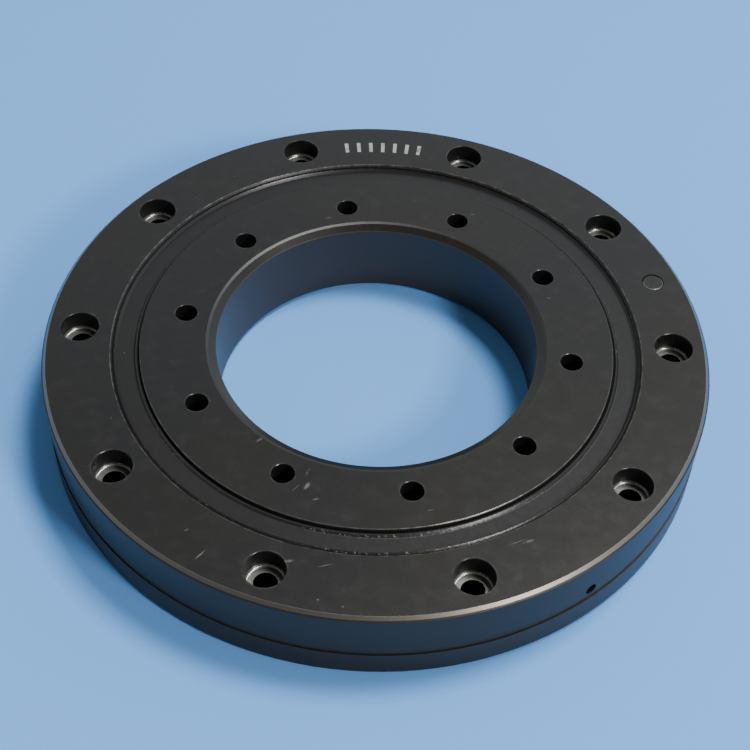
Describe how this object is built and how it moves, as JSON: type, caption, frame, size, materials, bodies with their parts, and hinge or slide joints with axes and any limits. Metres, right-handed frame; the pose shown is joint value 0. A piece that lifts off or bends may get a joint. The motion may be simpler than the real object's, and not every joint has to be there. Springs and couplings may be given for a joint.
{
  "type": "slewing ring bearing",
  "caption": "Thin crossed-roller slewing ring: two one-piece bolt-on rings that turn on alternately tilted rollers, with spacers, seals, filling plug and pin.",
  "frame": {"origin": "centre of the bottom face, on the axis of rotation", "axes": "+Z along the axis of rotation, towards the face with the outer ring's counterbores; +X through one outer bolt hole"},
  "size_m": [0.165, 0.165, 0.022],
  "materials": {
    "blackened_steel": "satin black oxide over fine ground steel",
    "seal_rubber": "matt nitrile rubber",
    "pin_steel": "satin, darkened",
    "spacer_resin": "matt moulded resin",
    "roller_steel": "ground and polished bearing steel"
  },
  "bodies": {
    "outer": {"outer_ring": "blackened_steel", "upper_seal": "seal_rubber", "lower_seal": "seal_rubber", "filling_plug": "blackened_steel", "plug_pin": "pin_steel"},
    "inner": {"inner_ring": "blackened_steel"},
    "roller_train": {"roller_spacers": "spacer_resin"},
    "roller_01_body": {"roller_01": "roller_steel"},
    "roller_02_body": {"roller_02": "roller_steel"},
    "roller_03_body": {"roller_03": "roller_steel"},
    "roller_04_body": {"roller_04": "roller_steel"},
    "roller_05_body": {"roller_05": "roller_steel"},
    "roller_06_body": {"roller_06": "roller_steel"},
    "roller_07_body": {"roller_07": "roller_steel"},
    "roller_08_body": {"roller_08": "roller_steel"},
    "roller_09_body": {"roller_09": "roller_steel"},
    "roller_10_body": {"roller_10": "roller_steel"},
    "roller_11_body": {"roller_11": "roller_steel"},
    "roller_12_body": {"roller_12": "roller_steel"},
    "roller_13_body": {"roller_13": "roller_steel"},
    "roller_14_body": {"roller_14": "roller_steel"},
    "roller_15_body": {"roller_15": "roller_steel"},
    "roller_16_body": {"roller_16": "roller_steel"},
    "roller_17_body": {"roller_17": "roller_steel"},
    "roller_18_body": {"roller_18": "roller_steel"},
    "roller_19_body": {"roller_19": "roller_steel"},
    "roller_20_body": {"roller_20": "roller_steel"},
    "roller_21_body": {"roller_21": "roller_steel"},
    "roller_22_body": {"roller_22": "roller_steel"},
    "roller_23_body": {"roller_23": "roller_steel"},
    "roller_24_body": {"roller_24": "roller_steel"},
    "roller_25_body": {"roller_25": "roller_steel"},
    "roller_26_body": {"roller_26": "roller_steel"},
    "roller_27_body": {"roller_27": "roller_steel"},
    "roller_28_body": {"roller_28": "roller_steel"},
    "roller_29_body": {"roller_29": "roller_steel"},
    "roller_30_body": {"roller_30": "roller_steel"},
    "roller_31_body": {"roller_31": "roller_steel"},
    "roller_32_body": {"roller_32": "roller_steel"},
    "roller_33_body": {"roller_33": "roller_steel"},
    "roller_34_body": {"roller_34": "roller_steel"},
    "roller_35_body": {"roller_35": "roller_steel"},
    "roller_36_body": {"roller_36": "roller_steel"},
    "roller_37_body": {"roller_37": "roller_steel"},
    "roller_38_body": {"roller_38": "roller_steel"},
    "roller_39_body": {"roller_39": "roller_steel"},
    "roller_40_body": {"roller_40": "roller_steel"},
    "roller_41_body": {"roller_41": "roller_steel"},
    "roller_42_body": {"roller_42": "roller_steel"}
  },
  "joints": [
    {"name": "inner_ring_spin", "type": "hinge", "parent": "outer", "child": "inner", "pos_m": [0, 0, 0.011], "axis": [0, 0, 1], "continuous": true},
    {"name": "roller_train_orbit", "type": "hinge", "parent": "outer", "child": "roller_train", "pos_m": [0, 0, 0.011], "axis": [0, 0, 1], "continuous": true},
    {"name": "roller_01_spin", "type": "hinge", "parent": "roller_train", "child": "roller_01_body", "pos_m": [0.06131, 0.00924, 0.011], "axis": [0.6992, 0.1054, -0.7071], "continuous": true},
    {"name": "roller_02_spin", "type": "hinge", "parent": "roller_train", "child": "roller_02_body", "pos_m": [0.05925, 0.01827, 0.011], "axis": [0.6757, 0.2084, 0.7071], "continuous": true},
    {"name": "roller_03_spin", "type": "hinge", "parent": "roller_train", "child": "roller_03_body", "pos_m": [0.05586, 0.0269, 0.011], "axis": [0.6371, 0.3068, -0.7071], "continuous": true},
    {"name": "roller_04_spin", "type": "hinge", "parent": "roller_train", "child": "roller_04_body", "pos_m": [0.05123, 0.03493, 0.011], "axis": [0.5842, 0.3983, 0.7071], "continuous": true},
    {"name": "roller_05_spin", "type": "hinge", "parent": "roller_train", "child": "roller_05_body", "pos_m": [0.04545, 0.04217, 0.011], "axis": [0.5183, 0.481, -0.7071], "continuous": true},
    {"name": "roller_06_spin", "type": "hinge", "parent": "roller_train", "child": "roller_06_body", "pos_m": [0.03866, 0.04847, 0.011], "axis": [0.4409, 0.5528, 0.7071], "continuous": true},
    {"name": "roller_07_spin", "type": "hinge", "parent": "roller_train", "child": "roller_07_body", "pos_m": [0.031, 0.05369, 0.011], "axis": [0.3536, 0.6124, -0.7071], "continuous": true},
    {"name": "roller_08_spin", "type": "hinge", "parent": "roller_train", "child": "roller_08_body", "pos_m": [0.02265, 0.05771, 0.011], "axis": [0.2583, 0.6582, 0.7071], "continuous": true},
    {"name": "roller_09_spin", "type": "hinge", "parent": "roller_train", "child": "roller_09_body", "pos_m": [0.0138, 0.06045, 0.011], "axis": [0.1573, 0.6894, -0.7071], "continuous": true},
    {"name": "roller_10_spin", "type": "hinge", "parent": "roller_train", "child": "roller_10_body", "pos_m": [0.00463, 0.06183, 0.011], "axis": [0.0528, 0.7051, 0.7071], "continuous": true},
    {"name": "roller_11_spin", "type": "hinge", "parent": "roller_train", "child": "roller_11_body", "pos_m": [-0.00463, 0.06183, 0.011], "axis": [-0.0528, 0.7051, -0.7071], "continuous": true},
    {"name": "roller_12_spin", "type": "hinge", "parent": "roller_train", "child": "roller_12_body", "pos_m": [-0.0138, 0.06045, 0.011], "axis": [-0.1573, 0.6894, 0.7071], "continuous": true},
    {"name": "roller_13_spin", "type": "hinge", "parent": "roller_train", "child": "roller_13_body", "pos_m": [-0.02265, 0.05771, 0.011], "axis": [-0.2583, 0.6582, -0.7071], "continuous": true},
    {"name": "roller_14_spin", "type": "hinge", "parent": "roller_train", "child": "roller_14_body", "pos_m": [-0.031, 0.05369, 0.011], "axis": [-0.3536, 0.6124, 0.7071], "continuous": true},
    {"name": "roller_15_spin", "type": "hinge", "parent": "roller_train", "child": "roller_15_body", "pos_m": [-0.03866, 0.04847, 0.011], "axis": [-0.4409, 0.5528, -0.7071], "continuous": true},
    {"name": "roller_16_spin", "type": "hinge", "parent": "roller_train", "child": "roller_16_body", "pos_m": [-0.04545, 0.04217, 0.011], "axis": [-0.5183, 0.481, 0.7071], "continuous": true},
    {"name": "roller_17_spin", "type": "hinge", "parent": "roller_train", "child": "roller_17_body", "pos_m": [-0.05123, 0.03493, 0.011], "axis": [-0.5842, 0.3983, -0.7071], "continuous": true},
    {"name": "roller_18_spin", "type": "hinge", "parent": "roller_train", "child": "roller_18_body", "pos_m": [-0.05586, 0.0269, 0.011], "axis": [-0.6371, 0.3068, 0.7071], "continuous": true},
    {"name": "roller_19_spin", "type": "hinge", "parent": "roller_train", "child": "roller_19_body", "pos_m": [-0.05925, 0.01827, 0.011], "axis": [-0.6757, 0.2084, -0.7071], "continuous": true},
    {"name": "roller_20_spin", "type": "hinge", "parent": "roller_train", "child": "roller_20_body", "pos_m": [-0.06131, 0.00924, 0.011], "axis": [-0.6992, 0.1054, 0.7071], "continuous": true},
    {"name": "roller_21_spin", "type": "hinge", "parent": "roller_train", "child": "roller_21_body", "pos_m": [-0.062, 0, 0.011], "axis": [-0.7071, 0, -0.7071], "continuous": true},
    {"name": "roller_22_spin", "type": "hinge", "parent": "roller_train", "child": "roller_22_body", "pos_m": [-0.06131, -0.00924, 0.011], "axis": [-0.6992, -0.1054, 0.7071], "continuous": true},
    {"name": "roller_23_spin", "type": "hinge", "parent": "roller_train", "child": "roller_23_body", "pos_m": [-0.05925, -0.01827, 0.011], "axis": [-0.6757, -0.2084, -0.7071], "continuous": true},
    {"name": "roller_24_spin", "type": "hinge", "parent": "roller_train", "child": "roller_24_body", "pos_m": [-0.05586, -0.0269, 0.011], "axis": [-0.6371, -0.3068, 0.7071], "continuous": true},
    {"name": "roller_25_spin", "type": "hinge", "parent": "roller_train", "child": "roller_25_body", "pos_m": [-0.05123, -0.03493, 0.011], "axis": [-0.5842, -0.3983, -0.7071], "continuous": true},
    {"name": "roller_26_spin", "type": "hinge", "parent": "roller_train", "child": "roller_26_body", "pos_m": [-0.04545, -0.04217, 0.011], "axis": [-0.5183, -0.481, 0.7071], "continuous": true},
    {"name": "roller_27_spin", "type": "hinge", "parent": "roller_train", "child": "roller_27_body", "pos_m": [-0.03866, -0.04847, 0.011], "axis": [-0.4409, -0.5528, -0.7071], "continuous": true},
    {"name": "roller_28_spin", "type": "hinge", "parent": "roller_train", "child": "roller_28_body", "pos_m": [-0.031, -0.05369, 0.011], "axis": [-0.3536, -0.6124, 0.7071], "continuous": true},
    {"name": "roller_29_spin", "type": "hinge", "parent": "roller_train", "child": "roller_29_body", "pos_m": [-0.02265, -0.05771, 0.011], "axis": [-0.2583, -0.6582, -0.7071], "continuous": true},
    {"name": "roller_30_spin", "type": "hinge", "parent": "roller_train", "child": "roller_30_body", "pos_m": [-0.0138, -0.06045, 0.011], "axis": [-0.1573, -0.6894, 0.7071], "continuous": true},
    {"name": "roller_31_spin", "type": "hinge", "parent": "roller_train", "child": "roller_31_body", "pos_m": [-0.00463, -0.06183, 0.011], "axis": [-0.0528, -0.7051, -0.7071], "continuous": true},
    {"name": "roller_32_spin", "type": "hinge", "parent": "roller_train", "child": "roller_32_body", "pos_m": [0.00463, -0.06183, 0.011], "axis": [0.0528, -0.7051, 0.7071], "continuous": true},
    {"name": "roller_33_spin", "type": "hinge", "parent": "roller_train", "child": "roller_33_body", "pos_m": [0.0138, -0.06045, 0.011], "axis": [0.1573, -0.6894, -0.7071], "continuous": true},
    {"name": "roller_34_spin", "type": "hinge", "parent": "roller_train", "child": "roller_34_body", "pos_m": [0.02265, -0.05771, 0.011], "axis": [0.2583, -0.6582, 0.7071], "continuous": true},
    {"name": "roller_35_spin", "type": "hinge", "parent": "roller_train", "child": "roller_35_body", "pos_m": [0.031, -0.05369, 0.011], "axis": [0.3536, -0.6124, -0.7071], "continuous": true},
    {"name": "roller_36_spin", "type": "hinge", "parent": "roller_train", "child": "roller_36_body", "pos_m": [0.03866, -0.04847, 0.011], "axis": [0.4409, -0.5528, 0.7071], "continuous": true},
    {"name": "roller_37_spin", "type": "hinge", "parent": "roller_train", "child": "roller_37_body", "pos_m": [0.04545, -0.04217, 0.011], "axis": [0.5183, -0.481, -0.7071], "continuous": true},
    {"name": "roller_38_spin", "type": "hinge", "parent": "roller_train", "child": "roller_38_body", "pos_m": [0.05123, -0.03493, 0.011], "axis": [0.5842, -0.3983, 0.7071], "continuous": true},
    {"name": "roller_39_spin", "type": "hinge", "parent": "roller_train", "child": "roller_39_body", "pos_m": [0.05586, -0.0269, 0.011], "axis": [0.6371, -0.3068, -0.7071], "continuous": true},
    {"name": "roller_40_spin", "type": "hinge", "parent": "roller_train", "child": "roller_40_body", "pos_m": [0.05925, -0.01827, 0.011], "axis": [0.6757, -0.2084, 0.7071], "continuous": true},
    {"name": "roller_41_spin", "type": "hinge", "parent": "roller_train", "child": "roller_41_body", "pos_m": [0.06131, -0.00924, 0.011], "axis": [0.6992, -0.1054, -0.7071], "continuous": true},
    {"name": "roller_42_spin", "type": "hinge", "parent": "roller_train", "child": "roller_42_body", "pos_m": [0.062, 0, 0.011], "axis": [0.7071, 0, 0.7071], "continuous": true}
  ],
  "couplings": [
    {"joint": "roller_train_orbit", "follows": "inner_ring_spin", "ratio": 0.47719},
    {"joint": "roller_01_spin", "follows": "inner_ring_spin", "ratio": 7.7339},
    {"joint": "roller_02_spin", "follows": "inner_ring_spin", "ratio": -7.7339},
    {"joint": "roller_03_spin", "follows": "inner_ring_spin", "ratio": 7.7339},
    {"joint": "roller_04_spin", "follows": "inner_ring_spin", "ratio": -7.7339},
    {"joint": "roller_05_spin", "follows": "inner_ring_spin", "ratio": 7.7339},
    {"joint": "roller_06_spin", "follows": "inner_ring_spin", "ratio": -7.7339},
    {"joint": "roller_07_spin", "follows": "inner_ring_spin", "ratio": 7.7339},
    {"joint": "roller_08_spin", "follows": "inner_ring_spin", "ratio": -7.7339},
    {"joint": "roller_09_spin", "follows": "inner_ring_spin", "ratio": 7.7339},
    {"joint": "roller_10_spin", "follows": "inner_ring_spin", "ratio": -7.7339},
    {"joint": "roller_11_spin", "follows": "inner_ring_spin", "ratio": 7.7339},
    {"joint": "roller_12_spin", "follows": "inner_ring_spin", "ratio": -7.7339},
    {"joint": "roller_13_spin", "follows": "inner_ring_spin", "ratio": 7.7339},
    {"joint": "roller_14_spin", "follows": "inner_ring_spin", "ratio": -7.7339},
    {"joint": "roller_15_spin", "follows": "inner_ring_spin", "ratio": 7.7339},
    {"joint": "roller_16_spin", "follows": "inner_ring_spin", "ratio": -7.7339},
    {"joint": "roller_17_spin", "follows": "inner_ring_spin", "ratio": 7.7339},
    {"joint": "roller_18_spin", "follows": "inner_ring_spin", "ratio": -7.7339},
    {"joint": "roller_19_spin", "follows": "inner_ring_spin", "ratio": 7.7339},
    {"joint": "roller_20_spin", "follows": "inner_ring_spin", "ratio": -7.7339},
    {"joint": "roller_21_spin", "follows": "inner_ring_spin", "ratio": 7.7339},
    {"joint": "roller_22_spin", "follows": "inner_ring_spin", "ratio": -7.7339},
    {"joint": "roller_23_spin", "follows": "inner_ring_spin", "ratio": 7.7339},
    {"joint": "roller_24_spin", "follows": "inner_ring_spin", "ratio": -7.7339},
    {"joint": "roller_25_spin", "follows": "inner_ring_spin", "ratio": 7.7339},
    {"joint": "roller_26_spin", "follows": "inner_ring_spin", "ratio": -7.7339},
    {"joint": "roller_27_spin", "follows": "inner_ring_spin", "ratio": 7.7339},
    {"joint": "roller_28_spin", "follows": "inner_ring_spin", "ratio": -7.7339},
    {"joint": "roller_29_spin", "follows": "inner_ring_spin", "ratio": 7.7339},
    {"joint": "roller_30_spin", "follows": "inner_ring_spin", "ratio": -7.7339},
    {"joint": "roller_31_spin", "follows": "inner_ring_spin", "ratio": 7.7339},
    {"joint": "roller_32_spin", "follows": "inner_ring_spin", "ratio": -7.7339},
    {"joint": "roller_33_spin", "follows": "inner_ring_spin", "ratio": 7.7339},
    {"joint": "roller_34_spin", "follows": "inner_ring_spin", "ratio": -7.7339},
    {"joint": "roller_35_spin", "follows": "inner_ring_spin", "ratio": 7.7339},
    {"joint": "roller_36_spin", "follows": "inner_ring_spin", "ratio": -7.7339},
    {"joint": "roller_37_spin", "follows": "inner_ring_spin", "ratio": 7.7339},
    {"joint": "roller_38_spin", "follows": "inner_ring_spin", "ratio": -7.7339},
    {"joint": "roller_39_spin", "follows": "inner_ring_spin", "ratio": 7.7339},
    {"joint": "roller_40_spin", "follows": "inner_ring_spin", "ratio": -7.7339},
    {"joint": "roller_41_spin", "follows": "inner_ring_spin", "ratio": 7.7339},
    {"joint": "roller_42_spin", "follows": "inner_ring_spin", "ratio": -7.7339}
  ]
}
